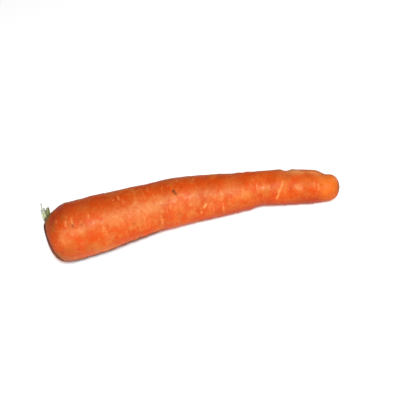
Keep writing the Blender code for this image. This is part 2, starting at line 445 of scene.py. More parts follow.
def smooth_at(steps: Steps, share: Array) -> Array:
    """Values of the smooth curve through steps.

    Args:
        steps: (share, value) in order.
        share: where the values are wanted.

    Returns:
        The values there.
    """
    x, y = np.array(steps).T
    after, before = np.minimum(np.arange(len(x)) + 1, len(x) - 1), np.maximum(np.arange(len(x)) - 1, 0)
    slope = (y[after] - y[before]) / (x[after] - x[before])
    i = np.clip(np.searchsorted(x, share, side="right") - 1, 0, len(x) - 2)
    width = x[i + 1] - x[i]
    t = (share - x[i]) / width
    return (
        y[i] * (1 + 2 * t) * (1 - t) ** 2
        + slope[i] * width * t * (1 - t) ** 2
        + y[i + 1] * t * t * (3 - 2 * t)
        + slope[i + 1] * width * t * t * (t - 1)
    )


def ramp(value: Array, zero: float, one: float) -> Array:
    """Returns how far values are on the way from where the ramp is 0 to where it is 1."""
    return np.clip((value - zero) / (one - zero), 0, 1)


def laid_over(under: Array, cover: Array) -> Array:
    """Returns the cover of two layers together."""
    return 1 - (1 - under) * (1 - cover)


def wrapped(angle: Array) -> Array:
    """Returns angles brought between minus and plus half a turn."""
    return np.remainder(angle + math.pi, math.tau) - math.pi


def unit(vectors: Array) -> Array:
    """Returns vectors brought to length 1."""
    return vectors / np.linalg.norm(vectors, axis=-1, keepdims=True)


# --- The root -------------------------------------------------------------------------------------


@dataclass(frozen=True)
class Crease:
    """A cross mark pressed into the root: a place on it, its half width and half span, and its depth."""

    station: float
    angle: float
    half_width: float
    half_span: float
    depth: float

    def press(self, station: Array, angle: Array) -> Array:
        """How far it presses the surface in.

        Args:
            station: distances from the crown.
            angle: angles round the root.

        Returns:
            The depths there.
        """
        across = (station - self.station) / self.half_width
        around = wrapped(angle - self.angle) / self.half_span
        inside = (np.abs(across) < 1) & (np.abs(around) < 1)
        return np.where(inside, self.depth * (1 - across**2) ** 2 * np.cos(around * math.pi / 2), 0.0)


class MarkKind(Enum):
    """What a mark on the skin is, by the attribute that holds it."""

    SCAR = "scar"
    # pale patches of painted highlight: painted sheen
    SPECK = "speck"
    BLOOM = "painted_sheen"
    RED = "red"
    OLIVE = "olive"
    # dark lines and rim: painted shade
    PAINTED_SHADE = "painted_shade"
    # holds back the paler tone, as painted shade along the top
    CALM = "calm"


@dataclass(frozen=True)
class Mark:
    """A mark on the skin, at a share of the length and an angle in degrees.

    It reaches so many millimetres around and along the root either way. Its tilt in degrees swings its near
    end towards the tip. Scars and painted shade have crisp ends, and the other kinds fade out.
    """

    kind: MarkKind
    share: float
    degrees: float
    around: float
    along: float
    strength: float = 1.0
    tilt: float = 0.0

    def cover(self, station: Array, angle: Array, radius: Array, length: float) -> Array:
        """How strongly it covers the surface.

        Args:
            station: distances from the crown.
            angle: angles round the root.
            radius: the root's radius at those places.
            length: the root's length.

        Returns:
            The cover there, from 0 to its strength.
        """
        down = (station - self.share * length) / MM
        round_it = radius * wrapped(angle - math.radians(self.degrees)) / MM
        turn = math.radians(self.tilt)
        long_way = (round_it * math.cos(turn) - down * math.sin(turn)) / self.around
        short_way = (down * math.cos(turn) + round_it * math.sin(turn)) / self.along
        if self.kind is MarkKind.PAINTED_SHADE:
            return self.strength * np.exp(-(short_way**2) - long_way**6)
        if self.kind is MarkKind.SCAR:
            return self.strength * np.exp(-(short_way**2)) * np.sqrt(np.clip(1 - long_way**2, 0, 1))
        return self.strength * np.exp(-(short_way**2) - long_way**2)


@dataclass(frozen=True)
class Strewn:
    """Marks of one kind strewn over the root at even steps along it, each drawn from these ranges."""

    kind: MarkKind
    count: int
    start: float  # the share of the length at which they start
    stretch: float  # the share of the length that they take
    around: Range
    along: Range
    strength: Range
    tilt: float = 0.0  # at most, either way

    def marks(self, draw: random.Random) -> Iterator[Mark]:
        """Yields the marks.

        Args:
            draw: the seeded draw.
        """
        for i in range(self.count):
            share = self.start + self.stretch * (i + draw.random()) / self.count
            degrees = draw.uniform(-180, 180)
            sizes = [draw.uniform(*ends) for ends in (self.around, self.along, self.strength)]
            tilt = draw.uniform(-self.tilt, self.tilt) if self.tilt else 0.0
            yield Mark(self.kind, share, degrees, *sizes, tilt)


@dataclass(frozen=True)
class PaintedShadeRim:
    """Painted shade round the end of the crown: a dark rim with a crisp edge on the near side and a soft one
    on the far side.
    """

    degrees: float = -128.0  # where it reaches furthest along the root
    half_turn: float = 80.0  # how far round from there its reach shrinks to the least, in degrees
    blunting: float = 12.0  # how broadly its furthest reach is rounded, in degrees
    least_reach: float = 1.9 * MM
    growth: float = 2.0
    crisp_edge: float = 0.9 * MM
    softening: float = 2.6 * MM
    fade: float = 1.8 * MM  # how soon it gets thinner inwards
    film: float = 0.2  # what is left of it in the middle
    far_loss: float = 0.8

    def cover(self, station: Array, angle: Array) -> Array:
        """How strongly it covers the surface.

        Args:
            station: distances from the crown.
            angle: angles round the root.

        Returns:
            The cover there, from 0 to 1.
        """
        turn = angle - math.radians(self.degrees)
        away = np.clip(np.hypot(np.degrees(wrapped(turn)), self.blunting) / self.half_turn, 0, 1)
        inward = self.least_reach * np.exp(self.growth * (1 - away)) - station
        far = np.sqrt(np.clip(-np.sin(turn), 0, 1))
        edge = self.crisp_edge + self.softening * far
        thinned = self.film + (1 - self.film) * np.exp(-np.maximum(inward - edge, 0) / self.fade)
        return np.clip(inward / edge, 0, 1) * thinned * (1 - self.far_loss * far)


@dataclass(frozen=True)
class RootForm:
    """The root's form: turned in its growing pose, lumped and creased, then bent along its spine.

    A station is a distance from the crown. An angle round the root is 0 on top and a quarter turn on the far
    side, +Y, as it lies.
    """

    length: float = 186 * MM
    side: Steps = (  # (share of the length, radius)
        (0.00, 17.4 * MM),
        (0.10, 18.8 * MM),
        (0.19, 18.4 * MM),
        (0.34, 16.2 * MM),
        (0.47, 15.5 * MM),
        (0.62, 13.2 * MM),
        (0.73, 11.4 * MM),
        (0.80, 11.2 * MM),
        (0.88, 10.7 * MM),
        (0.92, 10.3 * MM),
        (0.96, 8.7 * MM),
        (1.00, 7.8 * MM),
    )
    shoulder_length: float = 16 * MM
    shoulder_way: float = 0.135  # its share of the way down the skin
    shoulder_fullness: float = 2.35
    shoulder_lean: float = 0.6
    nose_length: float = 8 * MM
    nose_way: float = 0.06
    nose_fullness: float = 2.5
    sway: Steps = (  # (share of the length, distance across, to +Y)
        (0.00, -2.0 * MM),
        (0.18, 3.2 * MM),
        (0.34, 9.8 * MM),
        (0.50, 13.4 * MM),
        (0.64, 12.4 * MM),
        (0.76, 12.3 * MM),
        (0.88, 7.9 * MM),
        (1.00, 1.9 * MM),
    )
    spine_height: float = 20.1 * MM
    spine_drop: float = 10.9 * MM
    spine_step: float = 0.004  # the share of the length over which its direction is taken
    lumps: tuple[tuple[float, int, float, float], ...] = (  # (share of radius, waves round, along, phase)
        (0.014, 2, 0.7, 0.6),
        (0.010, 3, 1.6, 2.1),
        (0.007, 1, 4.3, 0.4),
        (0.006, 2, 7.7, 1.9),
        (0.005, 4, 3.1, 4.0),
    )
    # The large creases: (share of the length, degrees round, half width, half span in degrees, depth)
    waists: tuple[tuple[float, float, float, float, float], ...] = (
        (0.952, 42, 5.0 * MM, 120, 0.9 * MM),
        (0.827, 48, 3.8 * MM, 85, 0.9 * MM),
        (0.735, -130, 8.0 * MM, 80, 0.6 * MM),
        (0.560, 20, 4.0 * MM, 70, 0.35 * MM),
        (0.930, 230, 2.6 * MM, 70, 0.35 * MM),
    )
    fine_creases: int = 17
    crease_reach: Range = (0.09, 0.93)  # the shares of the length between which they lie
    crease_seed: int = 5
    crease_half_width: float = 0.8 * MM
    crease_depths: Range = (0.22 * MM, 0.42 * MM)
    crease_spans: Range = (28.0, 75.0)
    crown_degrees: float = 50.0  # the middle of the hollow, round the root and along it
    crown_station: float = 2.4 * MM
    pole_shift: float = 4.6 * MM  # how far the crown's pole lies off the axis
    hollow_radius: float = 5.4 * MM
    hollow_depth: float = 2.2 * MM
    leaf_scars: Range = (0.95, 0.45)  # the middle and half width of their ring, in hollow radii
    leaf_scar_waves: float = 26.0

    def creases(self) -> list[Crease]:
        """Returns the large creases, then the fine ones at even steps with a seeded scatter."""
        found = [
            Crease(share * self.length, math.radians(angle), half_width, math.radians(half_span), depth)
            for share, angle, half_width, half_span, depth in self.waists
        ]
        draw = random.Random(self.crease_seed)
        first, last = self.crease_reach
        low, high = map(math.radians, self.crease_spans)
        for i in range(self.fine_creases):
            share = first + (last - first) * (i + draw.uniform(0.1, 0.9)) / self.fine_creases
            angle = draw.uniform(-math.pi, math.pi)
            half_span = draw.uniform(low, high)
            depth = draw.uniform(*self.crease_depths)
            found.append(Crease(share * self.length, angle, self.crease_half_width, half_span, depth))
        return found

    def turned(self, way: Array) -> tuple[Array, Array]:
        """The profile that is turned.

        Args:
            way: shares of the way from the crown's pole down the side to the tip's pole.

        Returns:
            The stations and the radii there.
        """
        start, end = self.shoulder_length, self.length - self.nose_length
        at_crown = np.clip(way / self.shoulder_way, 0, 1) * math.pi / 2
        at_tip = np.clip((1 - way) / self.nose_way, 0, 1) * math.pi / 2
        side_way = 1 - self.shoulder_way - self.nose_way
        side = start + (end - start) * np.clip((way - self.shoulder_way) / side_way, 0, 1)
        station = side - self.shoulder_length * np.cos(at_crown) ** (2 / self.shoulder_fullness)
        station = station + self.nose_length * np.cos(at_tip) ** (2 / self.nose_fullness)
        rounding = np.sin(at_crown) ** (2 / self.shoulder_fullness)
        rounding = rounding * np.sin(at_tip) ** (2 / self.nose_fullness)
        station = np.clip(station, 0, self.length)
        return station, smooth_at(self.side, station / self.length) * rounding

    def grown(self, station: Array, angle: Array, radius: Array, relief: Array | float = 0.0) -> Array:
        """Points of the growing pose, with lumps and creases, and the crown shifted off the axis.

        Args:
            station: distances from the crown.
            angle: angles round the root.
            radius: the turned root's radii there.
            relief: how far the surface stands out besides.

        Returns:
            Their places, crown up.
        """
        full = smooth_at(self.side, station / self.length)
        outward = np.minimum(radius / full, 1.0)
        along = math.tau * station / self.length
        lump = sum(size * np.cos(n * angle + waves * along + phase) for size, n, waves, phase in self.lumps)
        pressed = sum(crease.press(station, angle) for crease in self.creases())
        radius = radius + outward * (full * lump - pressed + relief)
        at_crown = np.clip(1 - station / self.shoulder_length, 0, 1)
        lean = math.radians(self.crown_degrees)
        shift = self.pole_shift * (1 - outward) * at_crown
        station = station * (1 + self.shoulder_lean * np.cos(angle - lean) * at_crown)
        x = radius * np.cos(angle) + shift * math.cos(lean)
        y = radius * np.sin(angle) + shift * math.sin(lean)
        return np.stack([x, y, -station], axis=-1)

    def spine(self, share: Array) -> Array:
        """Returns points of the spine, as it lies."""
        height = self.spine_height - self.spine_drop * share
        return np.stack([share * self.length, smooth_at(self.sway, share), height], axis=-1)

    def laid(self, grown: Array) -> Array:
        """Points of the growing pose, bent along the spine and laid down.

        Args:
            grown: places in the growing pose.

        Returns:
            Their places as it lies, with the spine's start at x = 0.
        """
        share = -grown[..., 2] / self.length
        before, after = np.clip(share - self.spine_step, 0, 1), np.clip(share + self.spine_step, 0, 1)
        along = unit(self.spine(after) - self.spine(before))
        across = unit(np.cross([0.0, 0.0, 1.0], along))
        up = np.cross(along, across)
        return self.spine(share) + grown[..., 0:1] * up + grown[..., 1:2] * across

    def shoulder_point(self, station: float, angle: float) -> Vector:
        """Returns the point of the lying root at a station of its shoulder and an angle."""
        share = 1 - station / self.shoulder_length
        rounding = (1 - share**self.shoulder_fullness) ** (1 / self.shoulder_fullness)
        at = np.array([station])
        radius = smooth_at(self.side, at / self.length) * rounding
        return Vector(self.laid(self.grown(at, np.array([angle]), radius))[0])

    def crown(self) -> Matrix:
        """Returns the hollow's frame: z out of it, and x to the side that the stalks lean to."""
        step = 0.1 * MM
        station, angle = self.crown_station, math.radians(self.crown_degrees)
        centre = self.shoulder_point(station, angle)
        down = self.shoulder_point(station + step, angle) - centre
        around = self.shoulder_point(station, angle + step / self.hollow_radius) - centre
        out = down.cross(around).normalized()
        lean = (down - out * down.dot(out)).normalized()
        turn = Matrix((lean, out.cross(lean), out)).transposed().to_4x4()
        return Matrix.Translation(centre) @ turn

    def rested(self, grown: Array, ridge: float = 0.0) -> tuple[Array, Array]:
        """The lying root with its crown hollowed and its resting spots flat.

        Args:
            grown: places in the growing pose.
            ridge: how high the scars of shed leaves stand round the hollow.

        Returns:
            The points, and how far each is from the hollow's middle as a share of the hollow's radius.
        """
        crown = np.array(self.crown())
        turn, centre = crown[:3, :3], crown[:3, 3]
        local = (self.laid(grown) - centre) @ turn
        reach = np.linalg.norm(local, axis=-1) / self.hollow_radius
        middle, half_width = self.leaf_scars
        ring = np.clip(1 - ((reach - middle) / half_width) ** 2, 0, 1)
        ring = ring * np.cos(reach * self.leaf_scar_waves)
        local[..., 2] -= np.clip(1 - reach**2, 0, 1) ** 1.5 * self.hollow_depth + ridge * ring
        place = local @ turn.T + centre
        place[..., 2] = np.maximum(place[..., 2], 0)
        return place, reach

    def shift(self) -> Vector:
        """Returns the way from the lying root to its solid's place in the frame."""
        rings, turns = np.linspace(0, 1, 500), np.linspace(0, math.tau, 160, endpoint=False)
        way, angle = np.meshgrid(rings, turns)
        station, radius = self.turned(way)
        place, _ = self.rested(self.grown(station, angle, radius))
        place = place.reshape(-1, 3)
        low, high = map(np.array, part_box("taproot"))
        across = (low + high) / 2 - (place.min(0) + place.max(0)) / 2
        return Vector((across[0], across[1], 0))


@dataclass(frozen=True)
class Taproot:
    """The root, with relief finer than its solid holds, and the marks of its skin as attributes."""

    form: RootForm
    skin: CarrotSkin
    segments: int = 200
    rings: int = 490
    crack_seed: int = 23
    cracks: int = 70
    crack_start: float = 0.03  # the share of the length at which they start
    crack_stretch: float = 0.93  # the share of the length that they take
    crack_half_width: float = 0.75 * MM
    crack_depths: Range = (0.05 * MM, 0.13 * MM)
    crack_spans: Range = (8.0, 30.0)
    crease_shade: float = 0.35 * MM  # how deep a crease is where its painted shade is full
    swell_seed: int = 31
    swells: int = 26
    swell: float = 0.105 * MM
    swell_turns: int = 7  # waves round the root, at most
    swell_waves: Range = (4, 34)  # waves along it
    crown_swell: float = 1.8  # how much more the crown swells
    scar_ridge: float = 0.10 * MM  # of the leaf scars round the hollow
    pit_depth: float = 0.16 * MM
    scar_depth: float = 0.05 * MM
    mark_seed: int = 44
    pale_lines: Strewn = Strewn(MarkKind.SCAR, 90, 0.04, 0.88, (2.0, 6.0), (0.3, 0.5), (0.05, 0.27), 10)
    pits: Strewn = Strewn(MarkKind.SPECK, 26, 0.05, 0.9, (0.6, 1.1), (0.3, 0.5), (0.2, 0.6))
    rim: PaintedShadeRim = PaintedShadeRim()
    calm_degrees: float = -13.0  # the middle of the band along the top, where the paler tone is held back as painted shade
    calm_half_width: float = 26.0
    calm_least: float = 0.75  # its strength before it grows
    calm_growth: Range = (0.62, 0.74)  # where it grows to its full strength, as shares of the length
    calm_fade: Range = (0.95, 0.92)  # where it fades out again
    yellow: float = 0.85  # of the tip
    yellow_growth: Range = (0.93, 0.96)
    collar_reach: float = 1.28  # of the dark collar round the tuft, in hollow radii
    collar_fade: float = 0.7
    olive_ring: Triple = (1.2, 0.5, 0.8)  # its middle and half width in hollow radii, and its strength
    marks: tuple[Mark, ...] = ()

    def cracked(self) -> Iterator[Crease]:
        """Yields the fine cracks, at even steps with a seeded scatter."""
        draw = random.Random(self.crack_seed)
        for i in range(self.cracks):
            share = self.crack_start + self.crack_stretch * (i + draw.random()) / self.cracks
            angle = draw.uniform(-math.pi, math.pi)
            half_span = math.radians(draw.uniform(*self.crack_spans))
            depth = draw.uniform(*self.crack_depths)
            yield Crease(share * self.form.length, angle, self.crack_half_width, half_span, depth)

    def all_marks(self) -> Iterator[Mark]:
        """Yields the marks that have a set place, then the seeded lines and pits."""
        yield from self.marks
        draw = random.Random(self.mark_seed)
        yield from self.pale_lines.marks(draw)
        yield from self.pits.marks(draw)

    def waviness(self, station: Array, angle: Array) -> Array:
        """Soft unevenness of the surface.

        Args:
            station: distances from the crown.
            angle: angles round the root.

        Returns:
            How far it stands out.
        """
        draw = random.Random(self.swell_seed)
        total = np.zeros_like(station)
        for _ in range(self.swells):
            around, along = draw.randint(-self.swell_turns, self.swell_turns), draw.uniform(*self.swell_waves)
            wave = around * angle + math.tau * along * station / self.form.length + draw.uniform(0, math.tau)
            total += np.cos(wave)
        crown = 1 + self.crown_swell * ramp(station, self.form.shoulder_length, 0)
        return self.swell * crown * total / math.sqrt(self.swells)

    def build(self) -> bpy.types.Object:
        """Builds and dresses the root.

        Returns:
            The piece, in place of its solid.
        """
        ball = bmesh.new()
        bmesh.ops.create_uvsphere(ball, u_segments=self.segments, v_segments=self.rings, radius=1)
        mesh = mesh_of(ball, "carrot_root")
        co = np.empty(len(mesh.vertices) * 3)
        mesh.vertices.foreach_get("co", co)
        x, y, z = co.reshape(-1, 3).T
        angle = np.arctan2(y, x)
        way = np.arccos(np.clip(z, -1, 1)) / math.pi
        station, radius = self.form.turned(way)
        covers = self.covers(station, angle, radius)
        relief = self.waviness(station, angle) - sum(crack.press(station, angle) for crack in self.cracked())
        relief = relief - self.pit_depth * covers["speck"] - self.scar_depth * covers["scar"]
        grown = self.form.grown(station, angle, radius, relief)
        place, reach = self.form.rested(grown, self.scar_ridge)
        mesh.vertices.foreach_set("co", (place + np.array(self.form.shift())).ravel())
        covers["collar"] = np.clip(self.collar_reach - reach, 0, 1) ** self.collar_fade
        middle, half_width, strength = self.olive_ring
        covers["olive"] += strength * np.clip(1 - np.abs(reach - middle) / half_width, 0, 1)
        growing = mesh.attributes.new("growing", "FLOAT_VECTOR", "POINT")
        growing.data.foreach_set("vector", grown.ravel())
        for name, cover in covers.items():
            mesh.attributes.new(name, "FLOAT", "POINT").data.foreach_set("value", np.clip(cover, 0, 1))
        mesh.update()
        piece = shown("carrot_root", mesh, self.skin.material())
        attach(piece, "root")
        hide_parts("taproot")
        return piece

    def covers(self, station: Array, angle: Array, radius: Array) -> dict[str, Array]:
        """How strongly each kind of mark covers the skin.

        Args:
            station: distances from the crown.
            angle: angles round the root.
            radius: the turned root's radii there.

        Returns:
            The covers by attribute.
        """
        found = {kind.value: np.zeros_like(station) for kind in MarkKind}
        for mark in self.all_marks():
            cover = mark.cover(station, angle, radius, self.form.length)
            name = mark.kind.value
            found[name] = laid_over(found[name], np.clip(cover, 0, 1))
        share = station / self.form.length
        pressed = sum(crease.press(station, angle) for crease in self.form.creases()[len(self.form.waists) :])
        pressed = pressed + sum(crack.press(station, angle) for crack in self.cracked())
        # The crease cover is painted shade in the creases and cracks.
        found["crease"] = np.clip(pressed / self.crease_shade, 0, 1)
        found["yellow"] = self.yellow * ramp(share, *self.yellow_growth)
        # The rim round the crown end is painted shade.
        found["painted_shade"] = laid_over(found["painted_shade"], self.rim.cover(station, angle))
        # The band along the top is painted shade.
        found["calm"] = laid_over(found["calm"], self.calm_top(share, angle))
        return found

    def calm_top(self, share: Array, angle: Array) -> Array:
        """The even-toned band along the top, up to the tip, where the paler tone is held back: painted shade.

        Args:
            share: shares of the length.
            angle: angles round the root.

        Returns:
            Its cover there.
        """
        across = np.degrees(wrapped(angle - math.radians(self.calm_degrees))) / self.calm_half_width
        strength = self.calm_least + (1 - self.calm_least) * ramp(share, *self.calm_growth)
        return np.exp(-(across**2)) * strength * ramp(share, *self.calm_fade)


# --- The tuft and the rootlets --------------------------------------------------------------------


@dataclass(frozen=True)
class Limb:
    """A thin shoot along a bow: it goes by rise and bends by bend over its length, and tapers."""

    start: Vector
    rise: Vector
    bend: Vector
    radius: float
    at_root: float = 1.15
    at_end: float = 0.65
    sides: int = 14
    steps: int = 30
    ribs: int = 5
    rib_depth: float = 0.08
    lump: float = 0.05
    end_rings: int = 4
    ragged: float = 0.25
    sunk: float = 0.5  # how far the middle of the cut end is sunk, in radii
    phase: float = 0.0

    def place(self, t: float) -> Vector:
        """Returns the middle of the shoot at a share of its length."""
        return self.start + self.rise * t + self.bend * t * t

    def add_to(self, form: bmesh.types.BMesh, dryness: float) -> None:
        """Adds the shoot to a form: a ball's rings are drawn out along the bow, and its end is cut ragged.

        Args:
            form: the form, which has the layers along, dryness and grain.
            dryness: how dry the shoot is.
        """
        layers = form.verts.layers
        along, dry, grain = layers.float["along"], layers.float["dryness"], layers.float_vector["grain"]
        made = bmesh.ops.create_uvsphere(form, u_segments=self.sides, v_segments=self.steps, radius=1)
        flat = self.rise.cross(self.bend).normalized()
        side_rings = self.steps - 2 * self.end_rings
        for vertex in made["verts"]:
            turn = math.atan2(vertex.co.y, vertex.co.x)
            ring = round(math.acos(max(-1.0, min(1.0, vertex.co.z))) / math.pi * self.steps)
            t = min(max((self.steps - self.end_rings - ring) / side_rings, 0.0), 1.0)
            edge = min(ring, self.steps - ring, self.end_rings) / self.end_rings
            rib = 1 + self.rib_depth * math.cos(self.ribs * turn + self.phase + 1.5 * t)
            rib += self.lump * math.sin(9 * t + 2 * turn + self.phase)
            radius = self.radius * (self.at_root + (self.at_end - self.at_root) * t) * rib
            tangent = (self.rise + 2 * self.bend * t).normalized()
            side = tangent.cross(flat)
            place = self.place(t) + edge * radius * (flat * math.cos(turn) + side * math.sin(turn))
            if ring <= self.end_rings:
                tear = math.sin(3 * turn + self.phase) + 0.6 * math.sin(7 * turn + 2 * self.phase)
                place += tangent * self.radius * (self.ragged * tear * edge - self.sunk * (1 - edge))
            up = self.rise.length * t + 3 * self.phase * MM
            vertex[along], vertex[dry] = t, dryness
            vertex[grain] = Vector((self.radius * math.cos(turn), self.radius * math.sin(turn), up))
            vertex.co = place


def grained_form() -> bmesh.types.BMesh:
    """Returns an empty form with the layers that the stalk and rootlet finishes read."""
    form = bmesh.new()
    form.verts.layers.float.new("along")
    form.verts.layers.float.new("dryness")
    form.verts.layers.float_vector.new("grain")
    return form


@dataclass(frozen=True)
class LeafTuft:
    """The tuft of cut leaf stalks: a flat heart in the hollow, two whorls of stalks, and dry strands."""

    crown: Matrix
    finish: LeafStalk
    heart_radius: float = 3.0 * MM
    heart_half_height: float = 1.3 * MM
    heart_lobes: int = 9
    heart_lobe: float = 0.05  # how far they stand out, as a share of the heart's size
    heart_waves: float = 21.0  # radians of its rings from the middle to the edge
    heart_wave: float = 0.04
    heart_along: float = 0.12  # the share of a stalk whose colour it has
    sink: float = 0.35 * MM
    stalk_radius: float = 0.85 * MM
    thickness_range: Range = (0.85, 1.1)  # of one stalk, as a share of its whorl's
    place_scatter: float = 0.2  # either way, as a share of the gap between two stalks
    spread: float = 0.16
    lean: float = 0.42
    wilt: float = 0.3
    droop: float = 0.1
    cut_slope: float = 0.2
    seed: int = 11
    # (how many stalks, distance out, shortest, longest, share of the full thickness)
    whorls: tuple[tuple[int, float, float, float, float], ...] = (
        (7, 2.05 * MM, 4.0 * MM, 5.6 * MM, 1.0),
        (5, 1.0 * MM, 4.8 * MM, 6.0 * MM, 0.9),
    )
    strand_distance: float = 2.2 * MM
    # (degrees from the side that they lean to, length, share of the full thickness)
    strands: tuple[Triple, ...] = (
        (125, 10.8 * MM, 0.5),
        (196, 7.0 * MM, 0.5),
        (25, 5.0 * MM, 0.5),
    )
    strand_end: float = 0.95  # what is left of the radius at its end
    pale_side: float = math.radians(205)
    pale_sharpness: float = 1.5

    def stalk(self, angle: float, distance: float, length: float, radius: float, phase: float) -> Limb:
        """One stalk, which leans out and wilts over to one side.

        Args:
            angle: its place round the heart.
            distance: its place out from the heart's middle.
            length: how far it rises.
            radius: its radius.
            phase: what sets its ribs apart from its neighbours'.

        Returns:
            The stalk.
        """
        out = Vector((math.cos(angle), math.sin(angle), 0))
        rise = Vector((self.lean * length, 0, length)) + out * self.spread * length
        bend = Vector((self.wilt * length, 0, -self.droop * length))
        return Limb(out * distance, rise, bend, radius, phase=phase)

    def build(self, shift: Vector) -> bpy.types.Object:
        """Builds and dresses the tuft.

        Args:
            shift: from the lying root to its place in the frame.

        Returns:
            The piece, in place of its solid.
        """
        form = grained_form()
        draw = random.Random(self.seed)
        for whorl, (count, distance, shortest, longest, thickness) in enumerate(self.whorls):
            for i in range(count):
                scatter = draw.uniform(-self.place_scatter, self.place_scatter)
                angle = math.tau * (i + 0.5 * whorl + scatter) / count
                length = draw.uniform(shortest, longest) * (1 - self.cut_slope * math.cos(angle))
                radius = self.stalk_radius * thickness * draw.uniform(*self.thickness_range)
                dryness = (0.5 + 0.5 * math.cos(angle - self.pale_side)) ** self.pale_sharpness
                self.stalk(angle, distance, length, radius, 1.7 * i + whorl).add_to(form, dryness)
        for i, (degrees, length, thickness) in enumerate(self.strands):
            angle, radius = math.radians(degrees), self.stalk_radius * thickness
            strand = self.stalk(angle, self.strand_distance, length, radius, 2.3 * i)
            replace(strand, at_end=self.strand_end).add_to(form, 1.0)
        self.add_heart(form)
        bmesh.ops.recalc_face_normals(form, faces=form.faces)
        place = Matrix.Translation(shift) @ self.crown @ Matrix.Translation((0, 0, -self.sink))
        bmesh.ops.transform(form, matrix=place, verts=form.verts)
        piece = shown("leaf_tuft", mesh_of(form, "leaf_tuft"), self.finish.material())
        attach(piece, "root")
        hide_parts("leaf_stubs")
        return piece

    def add_heart(self, form: bmesh.types.BMesh) -> None:
        """Adds the flat heart, ringed by the bases of older leaves.

        Args:
            form: the tuft's form.
        """
        layers = form.verts.layers
        along, grain = layers.float["along"], layers.float_vector["grain"]
        made = bmesh.ops.create_uvsphere(form, u_segments=48, v_segments=30, radius=1)
        for vertex in made["verts"]:
            turn = math.atan2(vertex.co.y, vertex.co.x)
            out = math.hypot(vertex.co.x, vertex.co.y)
            scale = 1 + self.heart_lobe * math.cos(self.heart_lobes * turn) * out
            scale += self.heart_wave * math.cos(self.heart_waves * out)
            size = Vector((self.heart_radius, self.heart_radius, self.heart_half_height)) * scale
            vertex[along], vertex[grain] = self.heart_along, vertex.co * self.heart_radius
            vertex.co = Vector(a * b for a, b in zip(vertex.co, size))


@dataclass(frozen=True)
class Rootlets:
    """Short dried rootlets that are left in the creases, and the tail at the tip."""

    form: RootForm
    finish: RootletSkin
    seed: int = 83
    count: int = 16
    lengths: Range = (0.7 * MM, 2.2 * MM)
    radii: Range = (0.07 * MM, 0.13 * MM)
    scatter: float = 0.4  # either way along their crease, as a share of its half span
    rooting: float = 0.3 * MM  # how deep they start under the skin
    least_height: float = 4 * MM  # none stands lower, where the root rests
    stand: float = 0.7  # how far they stand out, as a share of their length
    sweep: Range = (-0.5, 0.9)  # how far they lean to the tip
    curl: Range = (0.1, 0.6)  # and how far they curl to it
    sag: float = 0.3
    tail_middle: float = 0.97  # the share of the length from which the tip's direction is taken
    tail_rooting: float = 0.5 * MM
    tail_spread: float = 0.35
    tail_curl: float = 0.5
    tails: tuple[Triple, ...] = (  # (degrees round the tip, length, radius)
        (-35, 1.6 * MM, 0.24 * MM),
        (70, 1.1 * MM, 0.15 * MM),
        (190, 0.9 * MM, 0.15 * MM),
    )

    def on_skin(self, station: float, angle: float, shift: Vector) -> tuple[Vector, Vector, Vector]:
        """A place on the skin.

        Args:
            station: its distance from the crown.
            angle: its angle round the root.
            shift: from the lying root to its place in the frame.

        Returns:
            The point, the way out of the skin and the way to the tip.
        """
        stations = np.array([station, station, station + MM])
        angles = np.array([angle, angle, angle])
        radius = smooth_at(self.form.side, stations / self.form.length) * np.array([1.0, 0.5, 1.0])
        skin, inside, further = map(Vector, self.form.laid(self.form.grown(stations, angles, radius)))
        return skin + shift, (skin - inside).normalized(), (further - skin).normalized()

    def build(self, shift: Vector) -> bpy.types.Object:
        """Builds and dresses the rootlets.

        Args:
            shift: from the lying root to its place in the frame.

        Returns:
            The piece.
        """
        form = grained_form()
        draw = random.Random(self.seed)
        shape = {"at_root": 1.4, "at_end": 0.35, "sides": 6, "steps": 14, "ribs": 2, "ragged": 0.1}
        for crease in self.form.creases()[len(self.form.waists) :][: self.count]:
            angle = crease.angle + draw.uniform(-self.scatter, self.scatter) * crease.half_span
            length = draw.uniform(*self.lengths)
            radius = draw.uniform(*self.radii)
            skin, out, to_tip = self.on_skin(crease.station, angle, shift)
            if skin.z < self.least_height:
                continue
            rise = (out * self.stand + to_tip * draw.uniform(*self.sweep)) * length
            bend = (to_tip * draw.uniform(*self.curl) - Vector((0, 0, self.sag))) * length
            start, phase = skin - out * self.rooting, draw.uniform(0, 6)
            Limb(start, rise, bend, radius, phase=phase, **shape).add_to(form, 1.0)
        ends = np.array([[0, 0, -self.form.length], [0, 0, -self.tail_middle * self.form.length]])
        tip, inside = map(Vector, self.form.laid(ends))
        to_tip = (tip - inside).normalized()
        side = Vector((0, 0, 1)).cross(to_tip).normalized()
        for degrees, length, radius in self.tails:
            turn = math.radians(degrees)
            out = side * math.cos(turn) + to_tip.cross(side) * math.sin(turn)
            start = tip + shift + (out - to_tip) * self.tail_rooting
            rise, bend = (to_tip + out * self.tail_spread) * length, out * self.tail_curl * length
            Limb(start, rise, bend, radius, phase=turn, **shape).add_to(form, 1.0)
        bmesh.ops.recalc_face_normals(form, faces=form.faces)
        piece = shown("rootlets", mesh_of(form, "rootlets"), self.finish.material())
        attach(piece, "root")
        return piece


# --- The studio -----------------------------------------------------------------------------------


